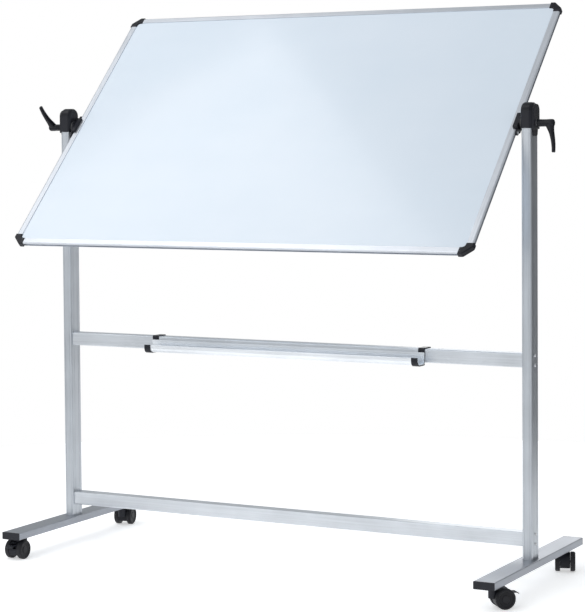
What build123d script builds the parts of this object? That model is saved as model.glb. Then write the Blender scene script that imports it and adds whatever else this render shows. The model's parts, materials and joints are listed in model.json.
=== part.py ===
from build123d import *
import os
from math import asin, cos, radians, sin, sqrt

# Rolling whiteboard. Millimetres, X along the board, the front at -Y, +Z up.
# The origin is on the floor, midway between the two posts.

# ---- stand
POST_SPACING = 1558
POST_WIDTH = 30
POST_DEPTH = 52
POST_WALL = 2.2
POST_CORNER = 4.5
POST_TOP = 1350
GROOVE_WIDTH = 1.6
GROOVE_DEPTH = 0.7
GROOVE_SPACING = 22
FRONT_GROOVE_SPACING = 16
FOOT_WIDTH = 62
FOOT_HEIGHT = 22
FOOT_BOTTOM = 63
FOOT_WALL = 2
FOOT_LENGTH = 688
FOOT_CORNER = 2.5
END_CAP = 3
END_PLUG = 14
BASE_BLOCK_HEIGHT = 32
FOOT_BOLT_OFFSET = 14
FOOT_BOLT_RADIUS = 4
FOOT_BOLT_HEAD = 7
FOOT_BOLT_HEAD_HEIGHT = 5
BAR_SIZE = 40
BAR_WALL = 2
BAR_CORNER = 3
BAR_GROOVE_OFFSET = 9
BAR_GROOVE_WIDTH = 1.4
BAR_GROOVE_DEPTH = 0.6
LOWER_BAR_HEIGHT = 141
CROSS_BAR_HEIGHT = 650
PORT_OFFSET = 14
PORT_RADIUS = 4.6
BAR_BOLT_RADIUS = 2.5
BAR_BOLT_HEAD = 5
BAR_BOLT_HEAD_HEIGHT = 3.5
BAR_BOLT_TAPER = 35
BAR_BOLT_DEPTH = 50

# ---- head of each post
PIVOT_HEIGHT = 1320
HEAD_WALL = 3
HEAD_BOTTOM = 1306
HEAD_TOP = 1379
HEAD_ARCH = 24
HEAD_EDGE = 10
RIM_THICKNESS = 4
RIM_BOTTOM = 1303
RIM_TOP = 1374
RIM_HALF = 23
RIM_ARCH = 19
TONGUE_BOTTOM = 1284
TONGUE_ROOT_HALF = 21
TONGUE_HALF = 16
TONGUE_ROUND = 6
BUSH_RADIUS = 9
STUD_RADIUS = 6
RUNNING_FIT = 0.05
WASHER_RADIUS = 20
WASHER_THICKNESS = 3

# ---- board
BOARD_WIDTH = 1500
BOARD_HEIGHT = 1000
BOARD_TILT = 45
FRAME_HALF = 7
FRAME_FACE = 21
FRAME_ROUND = 6
SLOT_DEPTH = 10
SLOT_HALF = 5
CORE_CORNER = 12
SIDE_GROOVE_HALF = 3
SIDE_GROOVE_DEPTH = 7
SHEET_THICKNESS = 0.5
CAP_ARM = 40
CAP_BAND = 24
CAP_PROUD = 1.6
CAP_SIDE = 1.2
CAP_CORNER = 26
CAP_CORNER_ROUND = 8
CAP_HEART = 10
CAP_END_ROUND = 3
CAP_EDGE = 3
BAR_INSERTION = 10

# ---- pivot brackets on the sides of the board
BRACKET_DEPTH = 10
BRACKET_PLATE = 5
BRACKET_HALF = 16
BRACKET_LENGTH = 58
BRACKET_ROUND = 5
SIDE_PLATE_LENGTH = 92
BOSS_RADIUS = 20
BOSS_HEIGHT = 2.5
STUD_HEAD = 16
STUD_HEAD_HEIGHT = 4
BRACKET_SCREW_OFFSET = 38
BRACKET_SCREW_RADIUS = 2
BRACKET_SCREW_HEAD = 4
BRACKET_SCREW_LENGTH = 12

# ---- clamp levers, measured outwards from the face of the hub
LEVER_GAP = 0.3
FLANGE_THICKNESS = 1.5
FLANGE_RADIUS = 10
HUB_START = 2
HUB_END = 52
HUB_RADIUS = 11
SPLINE_TEETH = 12
SPLINE_ROOT = 7.2
SPLINE_TIP = 8.4
SPLINE_FIT = 0.2
INSERT_LENGTH = 24
INSERT_BORE_DEPTH = 16
WEB_START = 24.3
WEB_END = 27.3
WEB_HOLE = 3.2
SPRING_BORE = 6
SCREW_RADIUS = 2.5
SCREW_START = 17
SCREW_HEAD_START = 43
SCREW_HEAD_END = 47
SCREW_HEAD_RADIUS = 5.4
SPRING_RADIUS = 4.6
SPRING_WIRE = 0.45
SPRING_TURNS = 5
SPRING_GAP = 0.1
ARM_LENGTH = 83
ARM_TIP_INNER = 47.2
ARM_TIP_OUTER = 57.2
ARM_WAIST = 42
ARM_ROOT = 25
ARM_ROOT_HALF = 9
ARM_TIP_HALF = 6.5
ARM_EDGE = 2
STUD_END = 15.5
LEFT_ARM_ANGLE = 38
RIGHT_ARM_ANGLE = 5

# ---- pen tray
TRAY_HALF = 462
TRAY_BOTTOM = 625
TRAY_FRONT = -70
TRAY_WALL = 2
TRAY_BACK_TOP = 660
TRAY_FRONT_TOP = 647
TRAY_CORNER = 14
TRAY_RIB = 1
TRAY_RIB_SPACING = 8
TRAY_RIBS = 3
BACK_RIBS = 3
BACK_RIB_SPACING = 4
TRAY_HEEL = 2.5
TRAY_BEAD = 1.6
CLIP_THICKNESS = 2.6
CLIP_WIDTH = 20
CLIP_GAP = 0.3
CLIP_BACK_END = 660
CLIP_LIP_TOP = 648.5
CLIP_BENDS = (3, 3, 3, 15)

# ---- casters
CASTER_OFFSET = 280
CASTER_TRAIL = 28
WHEEL_RADIUS = 29
WHEEL_INNER = 15.2
WHEEL_OUTER = 29.8
WHEEL_ROUND = 5
WHEEL_BORE = 4.05
WHEEL_BORE_END = 26.3
WHEEL_HUB = 8.5
WHEEL_RIM_INSIDE = 20
WHEEL_RECESS = 2
WHEEL_CHAMFER = 0.6
DISH_RADIUS = 22
DISH_DEPTH = 1.8
DISH_HUB = 11
DISH_HUB_DEPTH = 2.8
HUB_CAP = 10
HUB_CAP_DEPTH = 1.3
AXLE_RADIUS = 4
AXLE_HALF = 26
HOOD_RADIUS = 27
HOOD_HALF = 14.7
HOOD_BOTTOM = 12.5
HOOD_EDGE = 0.6
NECK_RADIUS = 13
HOOD_TOP = 60.7
STEM_RADIUS = 4
STEM_BOTTOM = 36
STEM_CLEARANCE = 0.3
COLLAR_RADIUS = 9
COLLAR_BOTTOM = 61
SOCKET_RADIUS = 9
SOCKET_BORE = 5.5
STEM_TOP = 80
PEDAL_AXIS = (39, 41)
PEDAL_HUB = 4.5
PEDAL_HALF = 11.5
PEDAL_THICKNESS = 2.5
PEDAL_TIP = 72
PEDAL_BEND = 66
PEDAL_RISE = 2
PEDAL_ROUND = 5
PEDAL_PIN = 2
PEDAL_PIN_HALF = 14.2
BRAKE_SLOT = (33.5, 33, 63, 47.5)
BRAKE_SLOT_HALF = 12

# ---- worked out from the above
POST_X = POST_SPACING / 2
POST_INNER = POST_X - POST_WIDTH / 2
POST_OUTER = POST_X + POST_WIDTH / 2
FOOT_TOP = FOOT_BOTTOM + FOOT_HEIGHT
HEAD_INNER = POST_INNER - HEAD_WALL
HEAD_OUTER = POST_OUTER + HEAD_WALL
HEAD_HALF = POST_DEPTH / 2 + HEAD_WALL
RIM_OUTER = HEAD_OUTER + RIM_THICKNESS
LEVER_START = RIM_OUTER + LEVER_GAP
TRAY_BACK = -BAR_SIZE / 2 - CLIP_GAP - CLIP_THICKNESS
BOARD_SIDE = BOARD_WIDTH / 2
BOARD_TOP = BOARD_HEIGHT / 2
CORE_HALF_WIDTH = BOARD_SIDE - FRAME_FACE + SLOT_DEPTH
CORE_HALF_HEIGHT = BOARD_TOP - FRAME_FACE + SLOT_DEPTH
BAR_END_X = BOARD_SIDE + CAP_SIDE - CAP_ARM + BAR_INSERTION
BAR_END_W = BOARD_TOP + CAP_SIDE - CAP_ARM + BAR_INSERTION
BRACKET_OUTER = BOARD_SIDE + BRACKET_PLATE
BOARD_UP = Vector(0, sin(radians(BOARD_TILT)), cos(radians(BOARD_TILT)))
BOARD_NORMAL = Vector(0, -cos(radians(BOARD_TILT)), sin(radians(BOARD_TILT)))
PIVOT = Vector(0, 0, PIVOT_HEIGHT)
BOARD_PLANE = Plane(origin=PIVOT, x_dir=(1, 0, 0), z_dir=BOARD_NORMAL)
SIDES = {"left": -1, "right": 1}
CASTERS = {
    "front_left": (-1, -1, 270),
    "front_right": (1, -1, 42),
    "back_left": (-1, 1, 100),
    "back_right": (1, 1, 290),
}


def write(builder, name):
    """Label a finished piece and write it as its own STEP file."""
    builder.part.label = name
    export_step(builder.part, f"parts/{name}.step")


def side_plane(x, side=1):
    """Plane across X at the given distance, facing out: local x is Y, local y is Z."""
    return Plane(origin=(side * x, 0, 0), x_dir=(0, side, 0), z_dir=(side, 0, 0))


# ---------------------------------------------------------------- stand

for side_name, side in SIDES.items():
    post_center = (side * POST_X, 0)
    with BuildPart() as post:
        with BuildSketch(Plane.XY.offset(FOOT_TOP)):
            with Locations(post_center):
                RectangleRounded(POST_WIDTH, POST_DEPTH, POST_CORNER)
                RectangleRounded(
                    POST_WIDTH - 2 * POST_WALL,
                    POST_DEPTH - 2 * POST_WALL,
                    POST_CORNER - POST_WALL,
                    mode=Mode.SUBTRACT,
                )
                with GridLocations(POST_WIDTH, GROOVE_SPACING, 2, 2):
                    Rectangle(2 * GROOVE_DEPTH, GROOVE_WIDTH, mode=Mode.SUBTRACT)
                with GridLocations(FRONT_GROOVE_SPACING, POST_DEPTH, 2, 2):
                    Rectangle(GROOVE_WIDTH, 2 * GROOVE_DEPTH, mode=Mode.SUBTRACT)
        extrude(amount=POST_TOP - FOOT_TOP)
        for bar_height in (LOWER_BAR_HEIGHT, CROSS_BAR_HEIGHT):
            with BuildSketch(side_plane(POST_INNER, side)):
                with Locations((0, bar_height - PORT_OFFSET), (0, bar_height + PORT_OFFSET)):
                    Circle(BAR_BOLT_RADIUS)
            extrude(amount=POST_WIDTH, mode=Mode.SUBTRACT)
        with BuildSketch(side_plane(POST_INNER, side)):
            with Locations((0, PIVOT_HEIGHT)):
                Circle(BUSH_RADIUS)
        extrude(amount=POST_WIDTH, mode=Mode.SUBTRACT)
    write(post, f"post_{side_name}")

    with BuildPart() as foot:
        foot_tube = FOOT_LENGTH - 2 * END_CAP
        with BuildSketch(Plane.XZ.offset(-foot_tube / 2)):
            with Locations((side * POST_X, FOOT_BOTTOM + FOOT_HEIGHT / 2)):
                RectangleRounded(FOOT_WIDTH, FOOT_HEIGHT, FOOT_CORNER)
                RectangleRounded(
                    FOOT_WIDTH - 2 * FOOT_WALL,
                    FOOT_HEIGHT - 2 * FOOT_WALL,
                    FOOT_CORNER - FOOT_WALL,
                    mode=Mode.SUBTRACT,
                )
        extrude(amount=foot_tube)
        with BuildSketch(Plane.XY.offset(FOOT_BOTTOM)):
            with Locations((side * POST_X, FOOT_BOLT_OFFSET), (side * POST_X, -FOOT_BOLT_OFFSET)):
                Circle(FOOT_BOLT_RADIUS)
        extrude(amount=FOOT_HEIGHT, mode=Mode.SUBTRACT)
        with BuildSketch(Plane.XY.offset(FOOT_BOTTOM)):
            with Locations((side * POST_X, CASTER_OFFSET), (side * POST_X, -CASTER_OFFSET)):
                Circle(SOCKET_RADIUS)
        extrude(amount=FOOT_WALL, mode=Mode.SUBTRACT)
    write(foot, f"foot_{side_name}")

# Each foot is closed by a flat cap with a plug that fills the end of the tube.
with BuildPart() as foot_end_caps:
    for end in (-1, 1):
        tube_end = Plane(
            origin=(0, end * (FOOT_LENGTH / 2 - END_CAP), 0),
            x_dir=(-end, 0, 0),
            z_dir=(0, end, 0),
        )
        cap_centers = [(x, FOOT_BOTTOM + FOOT_HEIGHT / 2) for x in (-POST_X, POST_X)]
        with BuildSketch(tube_end):
            with Locations(*cap_centers):
                RectangleRounded(FOOT_WIDTH, FOOT_HEIGHT, FOOT_CORNER)
        extrude(amount=END_CAP)
        with BuildSketch(tube_end.offset(-END_PLUG)):
            with Locations(*cap_centers):
                RectangleRounded(
                    FOOT_WIDTH - 2 * FOOT_WALL,
                    FOOT_HEIGHT - 2 * FOOT_WALL,
                    FOOT_CORNER - FOOT_WALL,
                )
        extrude(amount=END_PLUG)
write(foot_end_caps, "foot_end_caps")

with BuildPart() as post_base_blocks:
    with BuildSketch(Plane.XY.offset(FOOT_TOP)):
        with GridLocations(POST_SPACING, 0, 2, 1):
            RectangleRounded(
                POST_WIDTH - 2 * POST_WALL,
                POST_DEPTH - 2 * POST_WALL,
                POST_CORNER - POST_WALL,
            )
        with GridLocations(POST_SPACING, 2 * FOOT_BOLT_OFFSET, 2, 2):
            Circle(FOOT_BOLT_RADIUS, mode=Mode.SUBTRACT)
    extrude(amount=BASE_BLOCK_HEIGHT)
write(post_base_blocks, "post_base_blocks")

with BuildPart() as foot_bolts:
    with BuildSketch(Plane.XY.offset(FOOT_BOTTOM)):
        with GridLocations(POST_SPACING, 2 * FOOT_BOLT_OFFSET, 2, 2):
            RegularPolygon(FOOT_BOLT_HEAD, 6, major_radius=False)
    extrude(amount=-FOOT_BOLT_HEAD_HEIGHT)
    with BuildSketch(Plane.XY.offset(FOOT_BOTTOM)):
        with GridLocations(POST_SPACING, 2 * FOOT_BOLT_OFFSET, 2, 2):
            Circle(FOOT_BOLT_RADIUS)
    extrude(amount=FOOT_HEIGHT + BASE_BLOCK_HEIGHT)
write(foot_bolts, "foot_bolts")

# The bars are square extrusions with two screw ports, one behind the top and one behind the bottom.
for bar_name, bar_height in (("lower_bar", LOWER_BAR_HEIGHT), ("cross_bar", CROSS_BAR_HEIGHT)):
    with BuildPart() as bar:
        with BuildSketch(Plane.YZ.offset(-POST_INNER)):
            with Locations((0, bar_height)):
                RectangleRounded(BAR_SIZE, BAR_SIZE, BAR_CORNER)
                RectangleRounded(
                    BAR_SIZE - 2 * BAR_WALL,
                    BAR_SIZE - 2 * BAR_WALL,
                    BAR_CORNER - BAR_WALL,
                    mode=Mode.SUBTRACT,
                )
            with Locations((0, bar_height)):
                with GridLocations(BAR_SIZE, 2 * BAR_GROOVE_OFFSET, 2, 2):
                    Rectangle(2 * BAR_GROOVE_DEPTH, BAR_GROOVE_WIDTH, mode=Mode.SUBTRACT)
            with Locations((0, bar_height - PORT_OFFSET), (0, bar_height + PORT_OFFSET)):
                Circle(PORT_RADIUS)
                Circle(BAR_BOLT_RADIUS, mode=Mode.SUBTRACT)
        extrude(amount=2 * POST_INNER)
    write(bar, bar_name)

with BuildPart() as bar_bolts:
    for side in SIDES.values():
        bolt_centers = [
            (0, height + offset)
            for height in (LOWER_BAR_HEIGHT, CROSS_BAR_HEIGHT)
            for offset in (-PORT_OFFSET, PORT_OFFSET)
        ]
        with BuildSketch(side_plane(POST_OUTER, side)):
            with Locations(*bolt_centers):
                Circle(BAR_BOLT_HEAD)
        extrude(amount=BAR_BOLT_HEAD_HEIGHT, taper=BAR_BOLT_TAPER)
        with BuildSketch(side_plane(POST_OUTER, side)):
            with Locations(*bolt_centers):
                Circle(BAR_BOLT_RADIUS)
        extrude(amount=-BAR_BOLT_DEPTH)
write(bar_bolts, "bar_bolts")

# ---------------------------------------------------------------- head of each post


def arch_outline(bottom, top, half_width, arch):
    """Closed outline with straight sides and a top rounded at both corners."""
    spring = top - arch
    flat = half_width - arch
    corner = arch * sqrt(0.5)
    Line((-half_width, spring), (-half_width, bottom))
    Line((-half_width, bottom), (half_width, bottom))
    Line((half_width, bottom), (half_width, spring))
    ThreePointArc((half_width, spring), (flat + corner, spring + corner), (flat, top))
    Line((flat, top), (-flat, top))
    ThreePointArc((-flat, top), (-flat - corner, spring + corner), (-half_width, spring))


with BuildPart() as head_cap_right:
    with BuildSketch(side_plane(HEAD_INNER)):
        with BuildLine():
            arch_outline(HEAD_BOTTOM, HEAD_TOP, HEAD_HALF, HEAD_ARCH)
        make_face()
    extrude(amount=HEAD_OUTER - HEAD_INNER)
    flat_sides = head_cap_right.faces().sort_by(Axis.X)
    arch_edges = (flat_sides[0].edges() + flat_sides[-1].edges()).filter_by(
        lambda edge: edge.center().Z > HEAD_BOTTOM + 1
    )
    fillet(arch_edges, HEAD_EDGE)
    # rim and tongue on the outer side
    with BuildSketch(side_plane(POST_OUTER)):
        with BuildLine():
            arch_outline(RIM_BOTTOM, RIM_TOP, RIM_HALF, RIM_ARCH)
        make_face()
    extrude(amount=HEAD_WALL + RIM_THICKNESS)
    rim_face = head_cap_right.faces().sort_by(Axis.X)[-1]
    fillet(rim_face.edges(), RIM_THICKNESS / 3)
    with BuildSketch(side_plane(POST_OUTER)):
        with BuildLine():
            Polyline(
                (-TONGUE_ROOT_HALF, HEAD_BOTTOM + HEAD_EDGE),
                (-TONGUE_ROOT_HALF, HEAD_BOTTOM),
                (-TONGUE_HALF, TONGUE_BOTTOM),
                (TONGUE_HALF, TONGUE_BOTTOM),
                (TONGUE_ROOT_HALF, HEAD_BOTTOM),
                (TONGUE_ROOT_HALF, HEAD_BOTTOM + HEAD_EDGE),
                close=True,
            )
        tongue_face = make_face()
        fillet(tongue_face.vertices().group_by(Axis.Y)[0], TONGUE_ROUND)
    extrude(amount=HEAD_WALL)
    # room for the post, and a hollow crown above it
    with BuildSketch(Plane.XY.offset(TONGUE_BOTTOM)):
        with Locations((POST_X, 0)):
            RectangleRounded(POST_WIDTH, POST_DEPTH, POST_CORNER)
    extrude(amount=POST_TOP - TONGUE_BOTTOM, mode=Mode.SUBTRACT)
    with BuildSketch(Plane.XY.offset(POST_TOP)):
        with Locations((POST_X, 0)):
            RectangleRounded(POST_WIDTH - 2 * HEAD_WALL, HEAD_HALF, POST_CORNER)
    extrude(amount=HEAD_TOP - POST_TOP - 3 * HEAD_WALL, mode=Mode.SUBTRACT)
    with BuildSketch(side_plane(HEAD_INNER)):
        with Locations((0, PIVOT_HEIGHT)):
            Circle(BUSH_RADIUS)
    extrude(amount=RIM_OUTER - HEAD_INNER, mode=Mode.SUBTRACT)
write(head_cap_right, "head_cap_right")

with BuildPart() as head_cap_left:
    mirror(head_cap_right.part, about=Plane.YZ)
write(head_cap_left, "head_cap_left")

with BuildPart() as pivot_bushes:
    for side in SIDES.values():
        with BuildSketch(side_plane(HEAD_INNER, side)):
            with Locations((0, PIVOT_HEIGHT)):
                Circle(BUSH_RADIUS)
                Circle(STUD_RADIUS + RUNNING_FIT, mode=Mode.SUBTRACT)
        extrude(amount=RIM_OUTER - HEAD_INNER)
write(pivot_bushes, "pivot_bushes")

with BuildPart() as friction_washers:
    for side in SIDES.values():
        with BuildSketch(side_plane(HEAD_INNER - WASHER_THICKNESS, side)):
            with Locations((0, PIVOT_HEIGHT)):
                Circle(WASHER_RADIUS)
                Circle(STUD_RADIUS + RUNNING_FIT, mode=Mode.SUBTRACT)
        extrude(amount=WASHER_THICKNESS)
write(friction_washers, "friction_washers")

# ---------------------------------------------------------------- board

with BuildPart() as board_core:
    core_half = SLOT_HALF - SHEET_THICKNESS
    with BuildSketch(BOARD_PLANE.offset(-core_half)):
        RectangleRounded(2 * CORE_HALF_WIDTH, 2 * CORE_HALF_HEIGHT, CORE_CORNER)
    extrude(amount=2 * core_half)
write(board_core, "board_core")

for sheet_name, sheet_bottom in (("front_sheet", core_half), ("back_sheet", -SLOT_HALF)):
    with BuildPart() as sheet:
        with BuildSketch(BOARD_PLANE.offset(sheet_bottom)):
            RectangleRounded(2 * CORE_HALF_WIDTH, 2 * CORE_HALF_HEIGHT, CORE_CORNER)
        extrude(amount=SHEET_THICKNESS)
    write(sheet, sheet_name)


def frame_outline(groove_half, groove_depth, slot_depth):
    """Section of a frame bar: local x runs outwards from its outer edge, local y is the thickness."""
    nose = FRAME_HALF - FRAME_ROUND
    start_angle = asin((groove_half - nose) / FRAME_ROUND)
    middle_angle = (start_angle + radians(90)) / 2
    groove_lip = FRAME_ROUND * (cos(start_angle) - 1)
    middle = (
        FRAME_ROUND * (cos(middle_angle) - 1),
        nose + FRAME_ROUND * sin(middle_angle),
    )
    ThreePointArc((-FRAME_ROUND, FRAME_HALF), middle, (groove_lip, groove_half))
    Polyline(
        (groove_lip, groove_half),
        (-groove_depth, groove_half),
        (-groove_depth, -groove_half),
        (groove_lip, -groove_half),
    )
    ThreePointArc((groove_lip, -groove_half), (middle[0], -middle[1]), (-FRAME_ROUND, -FRAME_HALF))
    Polyline(
        (-FRAME_ROUND, -FRAME_HALF),
        (-FRAME_FACE, -FRAME_HALF),
        (-FRAME_FACE, -SLOT_HALF),
        (-FRAME_FACE + slot_depth, -SLOT_HALF),
        (-FRAME_FACE + slot_depth, SLOT_HALF),
        (-FRAME_FACE, SLOT_HALF),
        (-FRAME_FACE, FRAME_HALF),
        (-FRAME_ROUND, FRAME_HALF),
    )


def frame_envelope():
    """The same section with its groove and slot filled, as the pieces that wrap it see it."""
    corner = FRAME_ROUND * (1 - sqrt(0.5))
    nose = FRAME_HALF - FRAME_ROUND
    ThreePointArc((-FRAME_ROUND, FRAME_HALF), (-corner, FRAME_HALF - corner), (0, nose))
    Line((0, nose), (0, -nose))
    ThreePointArc((0, -nose), (-corner, corner - FRAME_HALF), (-FRAME_ROUND, -FRAME_HALF))
    Polyline(
        (-FRAME_ROUND, -FRAME_HALF),
        (-FRAME_FACE, -FRAME_HALF),
        (-FRAME_FACE, FRAME_HALF),
        (-FRAME_ROUND, FRAME_HALF),
    )


def frame_plane(outward, reach, along, start):
    """Plane across a frame bar, its origin on the bar's outer edge, facing along the bar."""
    return Plane(origin=PIVOT + outward * reach + along * start, x_dir=outward, z_dir=along)


ALONG_X = Vector(1, 0, 0)
FRAME_BARS = {
    "frame_top": (BOARD_UP, BOARD_TOP, ALONG_X, BAR_END_X),
    "frame_bottom": (-BOARD_UP, BOARD_TOP, ALONG_X, BAR_END_X),
    "frame_left": (-ALONG_X, BOARD_SIDE, BOARD_UP, BAR_END_W),
    "frame_right": (ALONG_X, BOARD_SIDE, BOARD_UP, BAR_END_W),
}
for bar_name, (outward, reach, along, half_length) in FRAME_BARS.items():
    with BuildPart() as frame_bar:
        with BuildSketch(frame_plane(outward, reach, along, -half_length)):
            with BuildLine():
                frame_outline(SIDE_GROOVE_HALF, SIDE_GROOVE_DEPTH, SLOT_DEPTH)
            make_face()
        extrude(amount=2 * half_length)
        if along == BOARD_UP:
            # pilot holes for the bracket screws
            with BuildSketch(Plane(origin=PIVOT + outward * CORE_HALF_WIDTH, x_dir=along, z_dir=outward)):
                with Locations((-BRACKET_SCREW_OFFSET, 0), (BRACKET_SCREW_OFFSET, 0)):
                    Circle(BRACKET_SCREW_RADIUS)
            extrude(amount=FRAME_FACE, mode=Mode.SUBTRACT)
    write(frame_bar, bar_name)

# One corner cap, at the top right, then its mirror images.
with BuildPart() as top_right_cap:
    outer_x = BOARD_SIDE + CAP_SIDE
    outer_w = BOARD_TOP + CAP_SIDE
    cap_half = FRAME_HALF + CAP_PROUD
    with BuildSketch(BOARD_PLANE.offset(-cap_half)) as cap_outline:
        with BuildLine():
            Polyline(
                (outer_x - CAP_ARM, outer_w),
                (outer_x - CAP_CORNER, outer_w),
                (outer_x, outer_w - CAP_CORNER),
                (outer_x, outer_w - CAP_ARM),
                (outer_x - CAP_BAND, outer_w - CAP_ARM),
                (outer_x - CAP_BAND, outer_w - CAP_BAND),
                (outer_x - CAP_ARM, outer_w - CAP_BAND),
                close=True,
            )
        make_face()
        # each fillet makes new vertices, so the next one is looked up afresh
        for corner, radius in (
            ((outer_x - CAP_CORNER, outer_w), CAP_CORNER_ROUND),
            ((outer_x, outer_w - CAP_CORNER), CAP_CORNER_ROUND),
            ((outer_x - CAP_BAND, outer_w - CAP_BAND), CAP_HEART),
            ((outer_x - CAP_ARM, outer_w - CAP_BAND), CAP_END_ROUND),
            ((outer_x - CAP_BAND, outer_w - CAP_ARM), CAP_END_ROUND),
        ):
            fillet(cap_outline.vertices().sort_by_distance(corner)[0], radius)
    extrude(amount=2 * cap_half)
    cap_faces = top_right_cap.faces().filter_by(BOARD_PLANE)
    fillet(cap_faces.edges(), CAP_EDGE)
    # the ends of the frame bars and the corner of the board slide into it
    with BuildSketch(frame_plane(BOARD_UP, BOARD_TOP, ALONG_X, 0)):
        with BuildLine():
            frame_envelope()
        make_face()
    extrude(amount=BAR_END_X, mode=Mode.SUBTRACT)
    with BuildSketch(frame_plane(ALONG_X, BOARD_SIDE, BOARD_UP, 0)):
        with BuildLine():
            frame_envelope()
        make_face()
    extrude(amount=BAR_END_W, mode=Mode.SUBTRACT)
    with BuildSketch(BOARD_PLANE.offset(-SLOT_HALF)):
        RectangleRounded(2 * CORE_HALF_WIDTH, 2 * CORE_HALF_HEIGHT, CORE_CORNER)
    extrude(amount=2 * SLOT_HALF, mode=Mode.SUBTRACT)

MIDDLE_PLANE = Plane(origin=PIVOT, x_dir=(1, 0, 0), z_dir=BOARD_UP)
with BuildPart() as corner_caps:
    add(top_right_cap.part)
    mirror(about=MIDDLE_PLANE)
    mirror(about=Plane.YZ)
write(corner_caps, "corner_caps")

# ---------------------------------------------------------------- pivot brackets

for side_name, side in SIDES.items():
    outward = Vector(side, 0, 0)
    with BuildPart() as bracket:
        # a saddle over the frame bar
        half_length = BRACKET_LENGTH / 2
        with BuildSketch(frame_plane(outward, BOARD_SIDE, BOARD_UP, -half_length)):
            with Locations(((BRACKET_PLATE - BRACKET_DEPTH) / 2, 0)):
                Rectangle(BRACKET_DEPTH + BRACKET_PLATE, 2 * BRACKET_HALF)
        extrude(amount=BRACKET_LENGTH)
        fillet(bracket.edges().filter_by(Axis.X), BRACKET_ROUND)
        outer_face = bracket.faces().sort_by(Axis.X)[-1 if side > 0 else 0]
        fillet(outer_face.edges(), BRACKET_ROUND / 2)
        # a long side plate with rounded ends
        half_plate = SIDE_PLATE_LENGTH / 2
        with BuildSketch(Plane(origin=PIVOT + outward * BOARD_SIDE, x_dir=BOARD_UP, z_dir=outward)):
            RectangleRounded(SIDE_PLATE_LENGTH, 2 * FRAME_HALF, FRAME_ROUND)
        extrude(amount=BRACKET_PLATE)
        with BuildSketch(frame_plane(outward, BOARD_SIDE, BOARD_UP, -half_plate)):
            with BuildLine():
                frame_envelope()
            make_face()
        extrude(amount=SIDE_PLATE_LENGTH, mode=Mode.SUBTRACT)
        # round boss that bears on the friction washer
        bearing_plane = Plane(origin=PIVOT + outward * BRACKET_OUTER, x_dir=BOARD_UP, z_dir=outward)
        with BuildSketch(bearing_plane.offset(-BOSS_HEIGHT)):
            Circle(BOSS_RADIUS)
        extrude(amount=2 * BOSS_HEIGHT)
        with BuildSketch(bearing_plane.offset(-BRACKET_PLATE)):
            Rectangle(STUD_HEAD, STUD_HEAD)
        extrude(amount=STUD_HEAD_HEIGHT, mode=Mode.SUBTRACT)
        with BuildSketch(bearing_plane.offset(-BRACKET_PLATE)):
            Circle(STUD_RADIUS)
        extrude(amount=2 * BRACKET_PLATE, mode=Mode.SUBTRACT)
        with Locations(bearing_plane):
            with Locations((-BRACKET_SCREW_OFFSET, 0), (BRACKET_SCREW_OFFSET, 0)):
                CounterSinkHole(
                    BRACKET_SCREW_RADIUS,
                    BRACKET_SCREW_HEAD,
                    depth=2 * BRACKET_PLATE,
                    counter_sink_angle=90,
                )
    write(bracket, f"pivot_bracket_{side_name}")

with BuildPart() as pivot_studs:
    for side in SIDES.values():
        outward = Vector(side, 0, 0)
        stud_plane = Plane(origin=PIVOT + outward * BOARD_SIDE, x_dir=BOARD_UP, z_dir=outward)
        with BuildSketch(stud_plane):
            Rectangle(STUD_HEAD, STUD_HEAD)
        extrude(amount=STUD_HEAD_HEIGHT)
        with BuildSketch(stud_plane):
            Circle(STUD_RADIUS)
        extrude(amount=LEVER_START + STUD_END - BOARD_SIDE)
write(pivot_studs, "pivot_studs")

with BuildPart() as bracket_screws:
    for side in SIDES.values():
        outward = Vector(side, 0, 0)
        screw_plane = Plane(origin=PIVOT + outward * BRACKET_OUTER, x_dir=BOARD_UP, z_dir=outward)
        screw_centers = ((-BRACKET_SCREW_OFFSET, 0), (BRACKET_SCREW_OFFSET, 0))
        with BuildSketch(screw_plane):
            with Locations(*screw_centers):
                Circle(BRACKET_SCREW_HEAD)
        extrude(amount=BRACKET_SCREW_RADIUS - BRACKET_SCREW_HEAD, taper=45)
        with BuildSketch(screw_plane.offset(BRACKET_SCREW_RADIUS - BRACKET_SCREW_HEAD)):
            with Locations(*screw_centers):
                Circle(BRACKET_SCREW_RADIUS)
        extrude(amount=-BRACKET_SCREW_LENGTH)
write(bracket_screws, "bracket_screws")

# ---------------------------------------------------------------- clamp levers


def spline_points(clearance):
    """Corners of the serrated insert, or of its socket when given a clearance."""
    tooth = 360 / SPLINE_TEETH
    points = []
    for index in range(SPLINE_TEETH):
        for radius, turn in (
            (SPLINE_ROOT, -0.5),
            (SPLINE_TIP, -0.2),
            (SPLINE_TIP, 0.2),
        ):
            angle = radians((index + turn) * tooth)
            points.append(((radius + clearance) * cos(angle), (radius + clearance) * sin(angle)))
    return points


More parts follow.
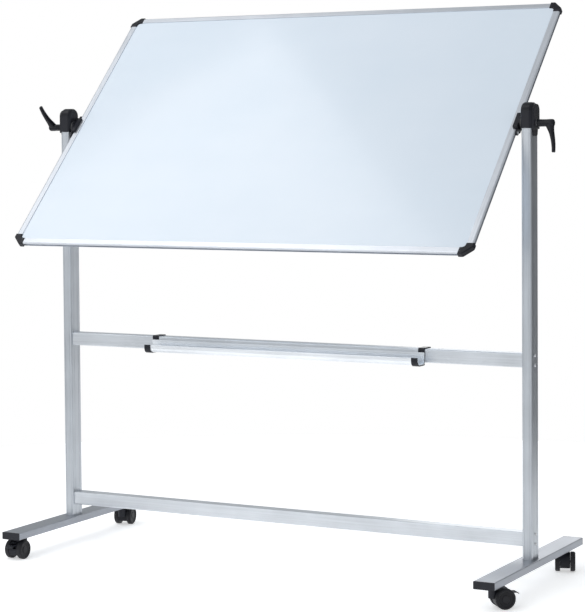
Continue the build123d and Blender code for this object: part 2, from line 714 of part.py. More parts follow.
ARM_DIRECTIONS = {
    "left": Vector(0, -sin(radians(LEFT_ARM_ANGLE)), cos(radians(LEFT_ARM_ANGLE))),
    "right": Vector(0, -sin(radians(RIGHT_ARM_ANGLE)), -cos(radians(RIGHT_ARM_ANGLE))),
}
for side_name, side in SIDES.items():
    arm = ARM_DIRECTIONS[side_name]
    lever = Plane(
        origin=PIVOT + Vector(side * LEVER_START, 0, 0),
        x_dir=arm,
        z_dir=(side, 0, 0),
    )
    arm_side = Plane(origin=lever.origin, x_dir=arm, z_dir=-lever.y_dir)

    with BuildPart() as insert:
        with BuildSketch(lever):
            Circle(FLANGE_RADIUS)
        extrude(amount=FLANGE_THICKNESS)
        with BuildSketch(lever):
            Polygon(*spline_points(0), align=None)
        extrude(amount=INSERT_LENGTH)
        with BuildSketch(lever):
            Circle(STUD_RADIUS + RUNNING_FIT)
        extrude(amount=INSERT_BORE_DEPTH, mode=Mode.SUBTRACT)
        with BuildSketch(lever):
            Circle(SCREW_RADIUS)
        extrude(amount=INSERT_LENGTH, mode=Mode.SUBTRACT)
    write(insert, f"lever_insert_{side_name}")

    with BuildPart() as handle:
        # the arm leaves the outer half of the hub, and narrows to a flat tip
        with BuildSketch(arm_side):
            with BuildLine():
                Line((0, HUB_END), (HUB_RADIUS, HUB_END))
                Line((HUB_RADIUS, HUB_END), (ARM_LENGTH, ARM_TIP_OUTER))
                Line((ARM_LENGTH, ARM_TIP_OUTER), (ARM_LENGTH, ARM_TIP_INNER))
                Spline(
                    (ARM_LENGTH, ARM_TIP_INNER),
                    (ARM_LENGTH / 2, ARM_WAIST),
                    (HUB_RADIUS - 1, ARM_ROOT),
                    tangents=[(-1, -0.05), (-0.9, -1.3)],
                )
                Line((HUB_RADIUS - 1, ARM_ROOT), (0, ARM_ROOT))
                Line((0, ARM_ROOT), (0, HUB_END))
            make_face()
        extrude(amount=ARM_ROOT_HALF, both=True)
        with BuildSketch(lever):
            with BuildLine():
                Polyline(
                    (0, -ARM_ROOT_HALF),
                    (ARM_LENGTH, -ARM_TIP_HALF),
                    (ARM_LENGTH, ARM_TIP_HALF),
                    (0, ARM_ROOT_HALF),
                    close=True,
                )
            make_face()
        extrude(amount=ARM_TIP_OUTER + 1, mode=Mode.INTERSECT)
        long_edges = handle.edges().filter_by(
            lambda edge: edge.length > ARM_LENGTH / 2 and abs(lever.to_local_coords(edge.center()).Y) > 1
        )
        fillet(long_edges, ARM_EDGE)
        with BuildSketch(lever.offset(HUB_START)):
            Circle(HUB_RADIUS)
        extrude(amount=HUB_END - HUB_START)
        with BuildSketch(lever.offset(HUB_START)):
            Polygon(*spline_points(SPLINE_FIT), align=None)
        extrude(amount=WEB_START - HUB_START, mode=Mode.SUBTRACT)
        with BuildSketch(lever.offset(HUB_START)):
            Circle(WEB_HOLE)
        extrude(amount=WEB_END - HUB_START, mode=Mode.SUBTRACT)
        with BuildSketch(lever.offset(WEB_END)):
            Circle(SPRING_BORE)
        extrude(amount=HUB_END - WEB_END, mode=Mode.SUBTRACT)
    write(handle, f"lever_handle_{side_name}")

    with BuildPart() as spring:
        spring_height = SCREW_HEAD_START - WEB_END - 2 * (SPRING_WIRE + SPRING_GAP)
        spring_foot = lever.offset(WEB_END + SPRING_WIRE + SPRING_GAP).origin
        with BuildLine() as coil:
            Helix(
                spring_height / SPRING_TURNS,
                spring_height,
                SPRING_RADIUS,
                center=spring_foot,
                direction=lever.z_dir,
            )
        with BuildSketch(Plane(origin=coil.line @ 0, z_dir=coil.line % 0)):
            Circle(SPRING_WIRE)
        sweep(path=coil.line)
    write(spring, f"lever_spring_{side_name}")

    with BuildPart() as screw:
        with BuildSketch(lever.offset(SCREW_START)):
            Circle(SCREW_RADIUS)
        extrude(amount=SCREW_HEAD_START - SCREW_START)
        with BuildSketch(lever.offset(SCREW_HEAD_START)):
            Circle(SCREW_HEAD_RADIUS)
        extrude(amount=SCREW_HEAD_END - SCREW_HEAD_START)
        with BuildSketch(lever.offset(SCREW_HEAD_END)):
            RegularPolygon(SCREW_RADIUS, 6)
        extrude(amount=-SCREW_RADIUS, mode=Mode.SUBTRACT)
    write(screw, f"lever_screw_{side_name}")

# ---------------------------------------------------------------- pen tray

with BuildPart() as pen_tray:
    with BuildSketch(Plane.YZ.offset(-TRAY_HALF)) as tray_section:
        with BuildLine():
            Polyline(
                (TRAY_BACK, TRAY_BACK_TOP),
                (TRAY_BACK, TRAY_BOTTOM),
                (TRAY_FRONT, TRAY_BOTTOM),
                (TRAY_FRONT, TRAY_FRONT_TOP),
                (TRAY_FRONT + TRAY_WALL, TRAY_FRONT_TOP),
                (TRAY_FRONT + TRAY_WALL, TRAY_BOTTOM + TRAY_WALL),
                (TRAY_BACK - TRAY_WALL, TRAY_BOTTOM + TRAY_WALL),
                (TRAY_BACK - TRAY_WALL, TRAY_BACK_TOP),
                close=True,
            )
        make_face()
        for corner, radius in (
            ((TRAY_BACK, TRAY_BOTTOM), TRAY_HEEL),
            ((TRAY_FRONT, TRAY_BOTTOM), TRAY_CORNER),
            ((TRAY_FRONT + TRAY_WALL, TRAY_BOTTOM + TRAY_WALL), TRAY_CORNER - TRAY_WALL),
        ):
            fillet(tray_section.vertices().sort_by_distance(corner)[0], radius)
        # ribs on the floor and the back flange, and a bead along the top of the front lip
        floor_middle = (TRAY_BACK - TRAY_WALL + TRAY_FRONT + TRAY_CORNER) / 2
        with Locations((floor_middle, TRAY_BOTTOM + TRAY_WALL)):
            with GridLocations(TRAY_RIB_SPACING, 0, TRAY_RIBS, 1):
                Circle(TRAY_RIB)
        with Locations((TRAY_BACK - TRAY_WALL, (TRAY_BOTTOM + TRAY_BACK_TOP) / 2 + BACK_RIB_SPACING)):
            with GridLocations(0, BACK_RIB_SPACING, 1, BACK_RIBS):
                Circle(TRAY_RIB)
        with Locations((TRAY_FRONT + TRAY_WALL, TRAY_FRONT_TOP)):
            Circle(TRAY_BEAD)
    extrude(amount=2 * TRAY_HALF)
write(pen_tray, "pen_tray")

CLIP_HALF = CLIP_THICKNESS / 2
HOOK_Y = BAR_SIZE / 2 + CLIP_GAP + CLIP_HALF
HOOK_Z = CROSS_BAR_HEIGHT + BAR_SIZE / 2 + CLIP_GAP + CLIP_HALF
for side_name, side in SIDES.items():
    with BuildPart() as tray_clip:
        with BuildSketch(side_plane(TRAY_HALF - CLIP_WIDTH, side)):
            with BuildLine() as hook:
                FilletPolyline(
                    (side * HOOK_Y, CLIP_BACK_END),
                    (side * HOOK_Y, HOOK_Z),
                    (-side * HOOK_Y, HOOK_Z),
                    (-side * HOOK_Y, TRAY_BOTTOM - CLIP_HALF),
                    (side * (TRAY_FRONT - CLIP_HALF), TRAY_BOTTOM - CLIP_HALF),
                    (side * (TRAY_FRONT - CLIP_HALF), CLIP_LIP_TOP),
                    radius=CLIP_BENDS,
                )
            trace(line_width=CLIP_THICKNESS)
        extrude(amount=CLIP_WIDTH)
    write(tray_clip, f"tray_clip_{side_name}")

# ---------------------------------------------------------------- casters

with BuildPart() as caster_sockets:
    with BuildSketch(Plane.XY.offset(FOOT_BOTTOM)):
        with GridLocations(POST_SPACING, 2 * CASTER_OFFSET, 2, 2):
            Circle(SOCKET_RADIUS)
            Circle(SOCKET_BORE, mode=Mode.SUBTRACT)
    extrude(amount=FOOT_HEIGHT - FOOT_WALL)
write(caster_sockets, "caster_sockets")

with BuildPart() as caster_stems:
    for radius, bottom, top in (
        (STEM_RADIUS, STEM_BOTTOM, COLLAR_BOTTOM),
        (COLLAR_RADIUS, COLLAR_BOTTOM, FOOT_BOTTOM),
        (SOCKET_BORE, FOOT_BOTTOM, STEM_TOP),
    ):
        with BuildSketch(Plane.XY.offset(bottom)):
            with GridLocations(POST_SPACING, 2 * CASTER_OFFSET, 2, 2):
                Circle(radius)
        extrude(amount=top - bottom)
write(caster_stems, "caster_stems")

for caster_name, (side, end, angle) in CASTERS.items():
    trail = Vector(cos(radians(angle)), sin(radians(angle)), 0)
    axle_line = Vector(trail.Y, -trail.X, 0)
    stem_foot = Vector(side * POST_X, end * CASTER_OFFSET, 0)
    rolling = Plane(origin=stem_foot, x_dir=trail, z_dir=axle_line)
    upright = Plane(origin=stem_foot, x_dir=trail, z_dir=(0, 0, 1))
    axle_center = (CASTER_TRAIL, WHEEL_RADIUS)
    has_brake = end < 0

    with BuildPart() as hood:
        with BuildSketch(rolling):
            with Locations(axle_center):
                Circle(HOOD_RADIUS)
            Rectangle(2 * CASTER_TRAIL, HOOD_BOTTOM, align=(Align.MIN, Align.MIN), mode=Mode.SUBTRACT)
        extrude(amount=HOOD_HALF, both=True)
        fillet(hood.edges().filter_by(GeomType.CIRCLE), HOOD_EDGE)
        with BuildSketch(upright.offset(WHEEL_RADIUS)):
            Circle(NECK_RADIUS)
        extrude(amount=HOOD_TOP - WHEEL_RADIUS)
        with BuildSketch(upright.offset(STEM_BOTTOM - STEM_CLEARANCE)):
            Circle(STEM_RADIUS + RUNNING_FIT)
        extrude(amount=HOOD_TOP, mode=Mode.SUBTRACT)
        with BuildSketch(rolling):
            with Locations(axle_center):
                Circle(AXLE_RADIUS)
        extrude(amount=HOOD_HALF, both=True, mode=Mode.SUBTRACT)
        if has_brake:
            slot_start, slot_bottom, slot_end, slot_top = BRAKE_SLOT
            with BuildSketch(rolling):
                with Locations((slot_start, slot_bottom)):
                    Rectangle(
                        slot_end - slot_start,
                        slot_top - slot_bottom,
                        align=(Align.MIN, Align.MIN),
                    )
            extrude(amount=BRAKE_SLOT_HALF, both=True, mode=Mode.SUBTRACT)
            with BuildSketch(rolling):
                with Locations(PEDAL_AXIS):
                    Circle(PEDAL_PIN + RUNNING_FIT)
            extrude(amount=HOOD_HALF, both=True, mode=Mode.SUBTRACT)
    write(hood, f"caster_hood_{caster_name}")

    with BuildPart() as axle:
        with BuildSketch(rolling):
            with Locations(axle_center):
                Circle(AXLE_RADIUS)
        extrude(amount=AXLE_HALF, both=True)
    write(axle, f"caster_axle_{caster_name}")

    for wheel_name, wheel_side in (("a", 1), ("b", -1)):
        # section of one wheel: local x is the radius, local y runs outwards along the axle
        wheel_section = Plane(
            origin=stem_foot + trail * CASTER_TRAIL + Vector(0, 0, WHEEL_RADIUS),
            x_dir=trail,
            z_dir=trail.cross(axle_line * wheel_side),
        )
        with BuildPart() as wheel:
            with BuildSketch(wheel_section):
                with BuildLine():
                    shoulder = WHEEL_OUTER - WHEEL_ROUND
                    corner = WHEEL_ROUND * sqrt(0.5)
                    ThreePointArc(
                        (WHEEL_RADIUS, shoulder),
                        (WHEEL_RADIUS - WHEEL_ROUND + corner, shoulder + corner),
                        (WHEEL_RADIUS - WHEEL_ROUND, WHEEL_OUTER),
                    )
                    Polyline(
                        (WHEEL_RADIUS - WHEEL_ROUND, WHEEL_OUTER),
                        (DISH_RADIUS, WHEEL_OUTER),
                        (DISH_RADIUS - 1, WHEEL_OUTER - DISH_DEPTH),
                        (DISH_HUB, WHEEL_OUTER - DISH_HUB_DEPTH),
                        (HUB_CAP, WHEEL_OUTER - HUB_CAP_DEPTH),
                        (0, WHEEL_OUTER - HUB_CAP_DEPTH),
                        (0, WHEEL_BORE_END),
                        (WHEEL_BORE, WHEEL_BORE_END),
                        (WHEEL_BORE, WHEEL_INNER),
                        (WHEEL_HUB, WHEEL_INNER),
                        (WHEEL_HUB, WHEEL_INNER + WHEEL_RECESS),
                        (WHEEL_RIM_INSIDE, WHEEL_INNER + WHEEL_RECESS),
                        (WHEEL_RIM_INSIDE, WHEEL_INNER),
                        (WHEEL_RADIUS - WHEEL_CHAMFER, WHEEL_INNER),
                        (WHEEL_RADIUS, WHEEL_INNER + WHEEL_CHAMFER),
                        (WHEEL_RADIUS, shoulder),
                    )
                make_face()
            revolve(axis=Axis(wheel_section.origin, axle_line))
        write(wheel, f"wheel_{caster_name}_{wheel_name}")

    if has_brake:
        with BuildPart() as pedal:
            pedal_x, pedal_z = PEDAL_AXIS
            with BuildSketch(rolling):
                with Locations(PEDAL_AXIS):
                    Circle(PEDAL_HUB)
            extrude(amount=PEDAL_HALF, both=True)
            with BuildSketch(rolling):
                with BuildLine():
                    FilletPolyline(
                        (pedal_x, pedal_z + PEDAL_RISE),
                        (PEDAL_BEND, pedal_z + PEDAL_RISE),
                        (PEDAL_TIP, pedal_z - PEDAL_RISE),
                        radius=PEDAL_ROUND,
                    )
                trace(line_width=PEDAL_THICKNESS)
            extrude(amount=PEDAL_HALF, both=True)
            with BuildSketch(rolling):
                with Locations(PEDAL_AXIS):
                    Circle(PEDAL_PIN)
            extrude(amount=PEDAL_PIN_HALF, both=True)
        write(pedal, f"brake_pedal_{caster_name}")
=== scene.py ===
import json
from math import cos, pi, radians, sin

import bmesh
import bpy
from mathutils import Matrix, Vector


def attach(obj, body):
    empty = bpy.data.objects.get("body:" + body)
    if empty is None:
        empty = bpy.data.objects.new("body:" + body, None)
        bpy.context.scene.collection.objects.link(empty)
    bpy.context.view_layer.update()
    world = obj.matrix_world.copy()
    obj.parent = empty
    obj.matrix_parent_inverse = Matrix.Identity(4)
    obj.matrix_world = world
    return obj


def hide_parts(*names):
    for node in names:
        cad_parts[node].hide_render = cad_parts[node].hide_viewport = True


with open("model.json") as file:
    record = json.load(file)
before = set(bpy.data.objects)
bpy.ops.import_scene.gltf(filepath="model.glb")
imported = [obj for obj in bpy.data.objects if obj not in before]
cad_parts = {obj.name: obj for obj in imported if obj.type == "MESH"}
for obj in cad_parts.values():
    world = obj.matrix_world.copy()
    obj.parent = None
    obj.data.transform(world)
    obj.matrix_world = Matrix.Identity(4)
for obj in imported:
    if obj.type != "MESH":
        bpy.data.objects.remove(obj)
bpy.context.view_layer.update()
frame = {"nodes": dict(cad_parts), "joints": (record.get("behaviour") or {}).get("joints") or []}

# ---------------------------------------------------------------- view

CAMERA_PLACE = Vector((2.8909, -5.3840, 1.2952))
CAMERA_YAW = radians(28.062)
CAMERA_PITCH = radians(-2.426)
CAMERA_ROLL = radians(-0.430)
CAMERA_LENS = 119.89
CAMERA_SENSOR = 36
CAMERA_SHIFT_Y = -0.1405
CAMERA_CLIP_END = 100


def add_camera():
    """Camera in front of the board, to the right of its middle."""
    forward = Vector((
        -sin(CAMERA_YAW) * cos(CAMERA_PITCH),
        cos(CAMERA_YAW) * cos(CAMERA_PITCH),
        sin(CAMERA_PITCH),
    ))
    level = Vector((cos(CAMERA_YAW), sin(CAMERA_YAW), 0))
    upright = level.cross(forward)
    right = level * cos(CAMERA_ROLL) + upright * sin(CAMERA_ROLL)
    up = upright * cos(CAMERA_ROLL) - level * sin(CAMERA_ROLL)
    data = bpy.data.cameras.new("camera")
    data.sensor_width = CAMERA_SENSOR
    data.lens = CAMERA_LENS
    data.shift_y = CAMERA_SHIFT_Y
    data.clip_end = CAMERA_CLIP_END
    camera = bpy.data.objects.new("camera", data)
    turn = Matrix((right, up, -forward)).transposed()
    camera.matrix_world = Matrix.Translation(CAMERA_PLACE) @ turn.to_4x4()
    bpy.context.scene.collection.objects.link(camera)
    bpy.context.scene.camera = camera


# ---------------------------------------------------------------- materials


class Nodes:
    """A small helper that adds shader nodes to a material and links them."""

    def __init__(self, name):
        self.material = bpy.data.materials.new(name)
        self.material.use_nodes = True
        self.tree = self.material.node_tree
        self.shader = self.tree.nodes["Principled BSDF"]
        self.place = self.add("ShaderNodeTexCoord").outputs["Object"]

    def add(self, kind, **settings):
        node = self.tree.nodes.new(kind)
        for key, value in settings.items():
            setattr(node, key, value)
        return node

    def link(self, output, target):
        self.tree.links.new(output, target)

    def mapped(self, scale, turn=(0, 0, 0)):
        """The object's own coordinates, turned and then stretched."""
        rotate = self.add("ShaderNodeMapping", vector_type="POINT")
        rotate.inputs["Rotation"].default_value = turn
        self.link(self.place, rotate.inputs["Vector"])
        stretch = self.add("ShaderNodeMapping", vector_type="POINT")
        stretch.inputs["Scale"].default_value = scale
        self.link(rotate.outputs["Vector"], stretch.inputs["Vector"])
        return stretch.outputs["Vector"]

    def noise(self, vector, scale, detail=2.0, roughness=0.5):
        node = self.add("ShaderNodeTexNoise")
        node.inputs["Scale"].default_value = scale
        node.inputs["Detail"].default_value = detail
        node.inputs["Roughness"].default_value = roughness
        self.link(vector, node.inputs["Vector"])
        return node.outputs["Fac"]

    def span(self, value, low, high, start=0.3, end=0.7):
        """Spread a 0 to 1 value over a range of numbers."""
        node = self.add("ShaderNodeMapRange")
        node.inputs["From Min"].default_value = start
        node.inputs["From Max"].default_value = end
        node.inputs["To Min"].default_value = low
        node.inputs["To Max"].default_value = high
        self.link(value, node.inputs["Value"])
        return node.outputs["Result"]

    def ramp(self, value, *stops):
        """Colour ramp from (position, colour) stops."""
        node = self.add("ShaderNodeValToRGB")
        elements = node.color_ramp.elements
        while len(elements) < len(stops):
            elements.new(0.5)
        for element, (position, color) in zip(elements, stops):
            element.position = position
            element.color = (*color, 1)
        self.link(value, node.inputs["Fac"])
        return node.outputs["Color"]

    def bump(self, height, strength, distance, below=None):
        node = self.add("ShaderNodeBump")
        node.inputs["Strength"].default_value = strength
        node.inputs["Distance"].default_value = distance
        self.link(height, node.inputs["Height"])
        if below is not None:
            self.link(below, node.inputs["Normal"])
        return node.outputs["Normal"]

    def put(self, name, value):
        """Set one of the shader's own values."""
        self.shader.inputs[name].default_value = value

    def color(self, output):
        self.link(output, self.shader.inputs["Base Color"])

    def roughness(self, output):
        self.link(output, self.shader.inputs["Roughness"])

    def normal(self, output):
        self.link(output, self.shader.inputs["Normal"])


# how much a pattern is squeezed along x, y and z
EVEN = (1, 1, 1)
ALONG_X = (4, 380, 380)
ALONG_Y = (380, 4, 380)
ALONG_Z = (380, 380, 4)
BOARD_TILT = radians(45)
# share of the clouds, against the die lines, in the tone of the aluminium
CLOUD_SHARE = 0.45
ALUMINIUM_METALLIC = 0.8
PLASTIC_SPECULAR = 0.22


def aluminium(name, stretch, tone, turn=(0, 0, 0), rough=(0.30, 0.42)):
    """Anodised extrusion: fine die lines along its length, broad cloudy variation, fine bead."""
    look = Nodes(name)
    lines = look.noise(look.mapped(stretch, turn), 1.0, 3.0, 0.6)
    clouds = look.noise(look.mapped(EVEN), 9.0, 3.0)
    grain = look.noise(look.mapped(EVEN), 2600.0, 1.0)
    mixed = look.add("ShaderNodeMix", data_type="FLOAT")
    mixed.inputs["Factor"].default_value = CLOUD_SHARE
    look.link(lines, mixed.inputs["A"])
    look.link(clouds, mixed.inputs["B"])
    dark = tuple(channel * 0.86 for channel in tone)
    light = tuple(min(1.0, channel * 1.08) for channel in tone)
    look.color(look.ramp(mixed.outputs["Result"], (0.32, dark), (0.68, light)))
    look.roughness(look.span(lines, *rough))
    fine = look.bump(grain, 0.03, 0.0002)
    look.normal(look.bump(lines, 0.05, 0.0003, fine))
    look.put("Metallic", ALUMINIUM_METALLIC)
    return look.material


def enamel(name, low, high):
    """White vitreous enamel on steel: faint cloudiness, wiped streaks, a slight orange peel."""
    look = Nodes(name)
    clouds = look.noise(look.mapped(EVEN), 3.0, 4.0)
    wiped = look.noise(look.mapped((3, 40, 40), (BOARD_TILT, 0, 0)), 1.0, 3.0)
    peel = look.noise(look.mapped(EVEN), 420.0, 2.0)
    look.color(look.ramp(clouds, (0.35, low), (0.65, high)))
    look.roughness(look.span(wiped, 0.16, 0.26))
    look.normal(look.bump(peel, 0.006, 0.0001))
    look.put("Specular IOR Level", 0.5)
    look.put("Coat Weight", 0.25)
    look.put("Coat Roughness", 0.08)
    return look.material


def plastic(name, tone, rough, grain_scale=1500.0, grain_depth=0.00012, worn=0.5):
    """Moulded black plastic: a fine eroded grain, cloudy gloss, and edges rubbed paler."""
    look = Nodes(name)
    grain = look.noise(look.mapped(EVEN), grain_scale, 3.0, 0.6)
    clouds = look.noise(look.mapped(EVEN), 45.0, 3.0)
    geometry = look.add("ShaderNodeNewGeometry")
    edge = look.span(geometry.outputs["Pointiness"], 0.0, worn, 0.505, 0.56)
    pale = tuple(channel * 2.4 + 0.012 for channel in tone)
    lifted = tuple(channel * 1.5 + 0.003 for channel in tone)
    base = look.ramp(clouds, (0.3, tone), (0.7, lifted))
    blend = look.add("ShaderNodeMix", data_type="RGBA")
    look.link(edge, blend.inputs["Factor"])
    look.link(base, blend.inputs["A"])
    blend.inputs["B"].default_value = (*pale, 1)
    look.color(blend.outputs["Result"])
    look.roughness(look.span(clouds, *rough))
    look.normal(look.bump(grain, 0.2, grain_depth))
    look.put("Specular IOR Level", PLASTIC_SPECULAR)
    return look.material


def steel(name, tone, rough, scale=300.0):
    """Zinc-plated steel: a bright, slightly blotchy plating with fine turning marks."""
    look = Nodes(name)
    blotch = look.noise(look.mapped(EVEN), scale, 4.0)
    marks = look.noise(look.mapped((4000, 300, 300)), 1.0, 2.0)
    light = tuple(min(1.0, channel * 1.25) for channel in tone)
    look.color(look.ramp(blotch, (0.35, tone), (0.65, light)))
    look.roughness(look.span(blotch, *rough))
    look.normal(look.bump(marks, 0.1, 0.0001))
    look.put("Metallic", 1.0)
    return look.material


CORE_LOW = (0.42, 0.31, 0.2)
CORE_HIGH = (0.62, 0.49, 0.34)


def board_core(name):
    """Edge of a honeycomb board: brown paper with fibres."""
    look = Nodes(name)
    fibres = look.noise(look.mapped((120, 900, 900)), 1.0, 4.0)
    look.color(look.ramp(fibres, (0.3, CORE_LOW), (0.7, CORE_HIGH)))
    look.roughness(look.span(fibres, 0.75, 0.95))
    look.normal(look.bump(fibres, 0.4, 0.0004))
    return look.material


POST_TONE = (0.54, 0.57, 0.61)
# painted shade: the feet are the same aluminium as the posts, given a much darker tone
FOOT_SHADED_TONE = (0.34, 0.36, 0.40)
BAR_TONE = (0.66, 0.69, 0.73)
FRAME_TONE = (0.64, 0.67, 0.72)
# painted light: the tray is the same aluminium as the bars, given a much lighter tone to make up
# for the shade the board casts on it
TRAY_LIT_TONE = (0.86, 0.89, 0.93)
ENAMEL_LOW = (0.78, 0.87, 0.97)
ENAMEL_HIGH = (0.81, 0.89, 0.985)
BLACK = (0.007, 0.0075, 0.011)
WASHER_BLACK = (0.05, 0.05, 0.05)
WHEEL_BLACK = (0.009, 0.009, 0.011)
ZINC_TONE = (0.52, 0.53, 0.55)
CAST_TONE = (0.4, 0.41, 0.42)
SPRING_TONE = (0.3, 0.3, 0.32)


def give(material, *names):
    """Put one material on every face of these CAD nodes."""
    for name in names:
        mesh = frame["nodes"][name].data
        mesh.materials.clear()
        mesh.materials.append(material)


def every(prefix):
    """CAD nodes whose names start this way."""
    return [name for name in frame["nodes"] if name.startswith(prefix)]


def dress():
    """Materials for the CAD nodes."""
    give(aluminium("post_aluminium", ALONG_Z, POST_TONE), "post_left", "post_right")
    # the feet's darker tone is painted shade
    give(aluminium("foot_aluminium", ALONG_Y, FOOT_SHADED_TONE), "foot_left", "foot_right")
    give(aluminium("bar_aluminium", ALONG_X, BAR_TONE), "lower_bar", "cross_bar")
    # the tray's lighter tone is painted light over the shade under the board
    give(aluminium("tray_aluminium", ALONG_X, TRAY_LIT_TONE), "pen_tray")
    give(aluminium("rail_aluminium", ALONG_X, FRAME_TONE), "frame_top", "frame_bottom")
    give(
        aluminium("stile_aluminium", ALONG_Y, FRAME_TONE, turn=(-BOARD_TILT, 0, 0)),
        "frame_left",
        "frame_right",
    )
    give(enamel("white_enamel", ENAMEL_LOW, ENAMEL_HIGH), "front_sheet", "back_sheet")
    give(board_core("honeycomb"), "board_core")
    give(plastic("cap_plastic", BLACK, (0.30, 0.42)), "corner_caps", "foot_end_caps")
    give(plastic("head_plastic", BLACK, (0.30, 0.45)), "head_cap_left", "head_cap_right")
    give(
        plastic("bracket_plastic", BLACK, (0.28, 0.38), grain_scale=2200.0),
        "pivot_bracket_left",
        "pivot_bracket_right",
    )
    give(plastic("clip_plastic", BLACK, (0.22, 0.34)), "tray_clip_left", "tray_clip_right")
    give(
        plastic("washer_plastic", WASHER_BLACK, (0.4, 0.5)),
        "friction_washers",
        "pivot_bushes",
    )
    give(
        plastic("hood_nylon", BLACK, (0.34, 0.48)),
        *every("caster_hood"),
        *every("brake_pedal"),
    )
    give(plastic("wheel_nylon", WHEEL_BLACK, (0.42, 0.55), worn=0.4), *every("wheel_"))
    give(
        steel("zinc", ZINC_TONE, (0.25, 0.4)),
        "foot_bolts",
        "bar_bolts",
        "bracket_screws",
        "pivot_studs",
        "caster_sockets",
        "caster_stems",
        *every("caster_axle"),
        *every("lever_insert"),
        *every("lever_screw"),
    )
    give(steel("cast_block", CAST_TONE, (0.5, 0.65), scale=900.0), "post_base_blocks")
    give(steel("spring_steel", SPRING_TONE, (0.25, 0.35)), *every("lever_spring"))


# ---------------------------------------------------------------- pieces made here


SHARP_ANGLE = radians(35)
LATHE_STEPS = 64


def shade(mesh):
    """Smooth shading, except at sharp edges."""
    mesh.shade_smooth()
    mesh.set_sharp_from_angle(angle=SHARP_ANGLE)


def new_piece(name, build, material):
    """Turn a bmesh into an object with one material."""
    mesh = bpy.data.meshes.new(name)
    bmesh.ops.recalc_face_normals(build, faces=build.faces)
    build.to_mesh(mesh)
    build.free()
    piece = bpy.data.objects.new(name, mesh)
    bpy.context.scene.collection.objects.link(piece)
    mesh.materials.append(material)
    shade(mesh)
    return piece


def settle(piece):
    """Apply the piece's modifiers to its mesh."""
    graph = bpy.context.evaluated_depsgraph_get()
    mesh = bpy.data.meshes.new_from_object(piece.evaluated_get(graph))
    piece.modifiers.clear()
    piece.data = mesh
    shade(mesh)


def join(build, rings):
    """Join each ring of vertices to the next with quads."""
    count = len(rings[0])
    for near, far in zip(rings, rings[1:]):
        for here in range(count):
            beside = (here + 1) % count
            build.faces.new((near[here], near[beside], far[beside], far[here]))


def lathe(build, profile, origin, axis, across):
    """Turn (radius, height) points about an axis. The first and last lie on it."""
    third = axis.cross(across)
    rings = []
    for radius, height in profile[1:-1]:
        ring = []
        for step in range(LATHE_STEPS):
            angle = 2 * pi * step / LATHE_STEPS
            spoke = across * cos(angle) + third * sin(angle)
            ring.append(build.verts.new(origin + axis * height + spoke * radius))
        rings.append(ring)
    join(build, rings)
    for ring, (_, height) in ((rings[0], profile[0]), (rings[-1], profile[-1])):
        centre = build.verts.new(origin + axis * height)
        for here in range(LATHE_STEPS):
            build.faces.new((ring[here], ring[(here + 1) % LATHE_STEPS], centre))


# the handles are drawn in millimetres
MM = 0.001
# each arm leans forward: the left one from straight up, the right one from straight down
LEFT_ARM_LEAN = radians(38)
RIGHT_ARM_LEAN = radians(5)
LEVER_ARMS = {
    "left": Vector((0, -sin(LEFT_ARM_LEAN), cos(LEFT_ARM_LEAN))),
    "right": Vector((0, -sin(RIGHT_ARM_LEAN), -cos(RIGHT_ARM_LEAN))),
}
# hub: radius and distance along the axis
HUB_PROFILE = (
    (0, 2.2), (9.6, 2.2), (10.4, 2.6), (10.9, 3.6), (10.5, 14), (10.4, 26), (10.9, 36), (11, 45),
    (10.6, 48.6), (9.4, 50.8), (7.6, 51.8), (0, 51.9),
)
# arm: distance from the axis, middle and half width along the axis, half width across
ARM_SECTIONS = (
    (-5, 39.6, 9.0, 6.5),
    (1, 39.2, 11.8, 8.8),
    (8, 39.4, 11.9, 9.4),
    (15, 41.0, 10.2, 9.2),
    (23, 43.6, 8.2, 8.7),
    (33, 46.4, 6.9, 8.1),
    (45, 49.0, 6.1, 7.5),
    (58, 51.0, 5.5, 7.0),
    (70, 51.9, 5.0, 6.4),
    (79, 52.1, 4.8, 6.2),
    (82.2, 52.1, 4.6, 6.0),
    (83, 52.1, 4.0, 5.4),
)
# room inside for the insert, the spring and the screw: radius and distance along the axis
BORE_PROFILE = (
    (0, 0), (8.7, 0), (8.7, 24.3), (3.2, 24.3), (3.2, 27.3), (6, 27.3), (6, 54), (0, 54),
)
ARM_CORNER_POWER = 0.72
ARM_STEPS = 40
# in metres
HANDLE_VOXEL = 0.0007
HANDLE_EASE = 0.5
HANDLE_EASE_STEPS = 8


def in_metres(profile):
    """A profile given in millimetres, in metres."""
    return [(radius * MM, height * MM) for radius, height in profile]


def fuller(value):
    """Push a sine or cosine outwards, which makes the corners of a round section fuller."""
    return abs(value) ** ARM_CORNER_POWER * (1 if value > 0 else -1)


def lever_arm(build, origin, axis, arm):
    """Closed arm, its sections between an ellipse and a rectangle."""
    across = axis.cross(arm)
    rings = []
    for distance, middle, half_axial, half_across in ARM_SECTIONS:
        ring = []
        for step in range(ARM_STEPS):
            angle = 2 * pi * step / ARM_STEPS
            axial = half_axial * fuller(cos(angle))
            sideways = half_across * fuller(sin(angle))
            place = arm * distance + axis * (middle + axial) + across * sideways
            ring.append(build.verts.new(origin + place * MM))
        rings.append(ring)
    join(build, rings)
    build.faces.new(rings[0])
    build.faces.new(rings[-1])


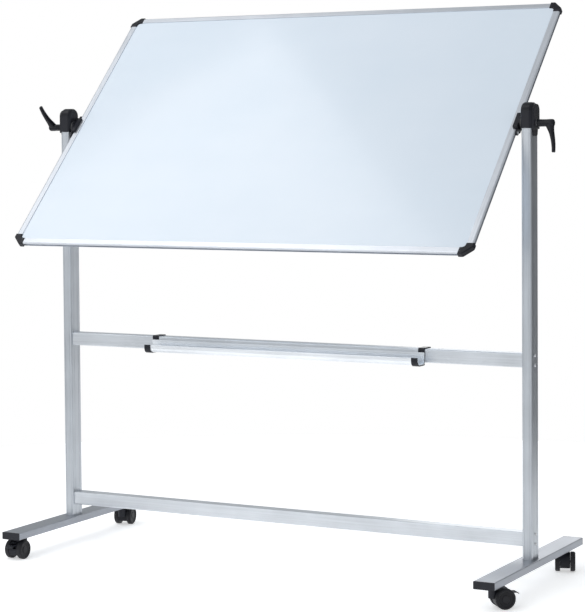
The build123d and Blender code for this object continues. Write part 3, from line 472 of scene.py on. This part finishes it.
def clamp_handle(side, material):
    """Moulded handle of a clamp lever, its arm blended into the hub."""
    joint = next(j for j in frame["joints"] if j["name"] == f"lever_turn_{side}")
    origin = Vector(joint["pos_m"])
    axis = Vector(joint["axis"])
    arm = LEVER_ARMS[side]
    build = bmesh.new()
    lathe(build, in_metres(HUB_PROFILE), origin, axis, arm)
    lever_arm(build, origin, axis, arm)
    piece = new_piece(f"clamp_handle_{side}", build, material)
    fuse = piece.modifiers.new("fuse", "REMESH")
    fuse.mode = "VOXEL"
    fuse.voxel_size = HANDLE_VOXEL
    ease = piece.modifiers.new("ease", "SMOOTH")
    ease.factor = HANDLE_EASE
    ease.iterations = HANDLE_EASE_STEPS
    settle(piece)

    cutter_build = bmesh.new()
    lathe(cutter_build, in_metres(BORE_PROFILE), origin, axis, arm)
    cutter = new_piece("cutter", cutter_build, material)
    bore = piece.modifiers.new("bore", "BOOLEAN")
    bore.object = cutter
    bore.operation = "DIFFERENCE"
    bore.solver = "EXACT"
    settle(piece)
    bpy.data.objects.remove(cutter)
    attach(piece, f"handle_{side}")
    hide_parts(f"lever_handle_{side}")


# ---------------------------------------------------------------- light


SURROUND = 0.56
SURROUND_DARK = 0.06
SURROUND_COLOR = (0.95, 0.98, 1, 1)
# the surround darkens towards this direction, between these two cosines of the angle from it
DARK_TOWARDS = (0.47, 0.88, 0)
DARK_START = 0.55
DARK_FULL = 0.92
WHITE = (1, 1, 1, 1)
# name, place, what it aims at, width and height, power
SOFT_BOXES = (
    ("key", (-2.0, -4.5, 2.0), (0, 0, 1.0), (3.5, 2.5), 34),
    ("top", (-1.7, -1.4, 4.2), (-0.3, -0.2, 0.9), (3.2, 2.4), 45),
    ("back", (0.1, 3.2, 1.2), (-0.4, 0, 1.0), (2.6, 3.0), 30),
)
FLOOR_RADIUS = 2.6
FLOOR_SEGMENTS = 96
FLOOR_GLOW = 0.46
PAPER_LOW = (0.93, 0.93, 0.93)
PAPER_HIGH = (0.95, 0.95, 0.95)


def area_light(name, place, aim, size, power):
    """Soft box that lights the object without being seen."""
    data = bpy.data.lights.new(name, "AREA")
    data.shape = "RECTANGLE"
    data.size, data.size_y = size
    data.energy = power
    light = bpy.data.objects.new(name, data)
    light.location = place
    light.visible_camera = False
    light.rotation_euler = (Vector(aim) - Vector(place)).to_track_quat("-Z", "Y").to_euler()
    bpy.context.scene.collection.objects.link(light)


def add_surround():
    """White backdrop for the camera, and a soft surround that is dark towards the back right."""
    world = bpy.data.worlds.new("studio")
    world.use_nodes = True
    bpy.context.scene.world = world
    tree = world.node_tree
    surround = tree.nodes["Background"]
    surround.inputs["Color"].default_value = SURROUND_COLOR
    place = tree.nodes.new("ShaderNodeTexCoord")
    towards = tree.nodes.new("ShaderNodeVectorMath")
    towards.operation = "DOT_PRODUCT"
    towards.inputs[1].default_value = DARK_TOWARDS
    tree.links.new(place.outputs["Generated"], towards.inputs[0])
    fall = tree.nodes.new("ShaderNodeMapRange")
    fall.interpolation_type = "SMOOTHSTEP"
    fall.inputs["From Min"].default_value = DARK_START
    fall.inputs["From Max"].default_value = DARK_FULL
    fall.inputs["To Min"].default_value = SURROUND
    fall.inputs["To Max"].default_value = SURROUND_DARK
    tree.links.new(towards.outputs["Value"], fall.inputs["Value"])
    tree.links.new(fall.outputs["Result"], surround.inputs["Strength"])
    backdrop = tree.nodes.new("ShaderNodeBackground")
    backdrop.inputs["Color"].default_value = WHITE
    rays = tree.nodes.new("ShaderNodeLightPath")
    mix = tree.nodes.new("ShaderNodeMixShader")
    tree.links.new(rays.outputs["Is Camera Ray"], mix.inputs["Fac"])
    tree.links.new(surround.outputs["Background"], mix.inputs[1])
    tree.links.new(backdrop.outputs["Background"], mix.inputs[2])
    tree.links.new(mix.outputs["Shader"], tree.nodes["World Output"].inputs["Surface"])


def add_floor():
    """Pale paper disc that glows enough to meet the white backdrop."""
    mesh = bpy.data.meshes.new("floor")
    build = bmesh.new()
    bmesh.ops.create_circle(build, cap_ends=True, segments=FLOOR_SEGMENTS, radius=FLOOR_RADIUS)
    build.to_mesh(mesh)
    build.free()
    floor = bpy.data.objects.new("floor", mesh)
    bpy.context.scene.collection.objects.link(floor)
    look = Nodes("floor_paper")
    clouds = look.noise(look.mapped(EVEN), 0.6, 2.0)
    look.color(look.ramp(clouds, (0.3, PAPER_LOW), (0.7, PAPER_HIGH)))
    look.put("Roughness", 0.9)
    look.put("Specular IOR Level", 0.1)
    look.put("Emission Color", WHITE)
    look.put("Emission Strength", FLOOR_GLOW)
    mesh.materials.append(look.material)


# ---------------------------------------------------------------- build

add_camera()
dress()
lever_plastic = plastic("lever_plastic", BLACK, (0.24, 0.34))
for lever_side in LEVER_ARMS:
    clamp_handle(lever_side, lever_plastic)
add_surround()
for soft_box in SOFT_BOXES:
    area_light(*soft_box)
add_floor()
bpy.context.scene.view_settings.view_transform = "Standard"
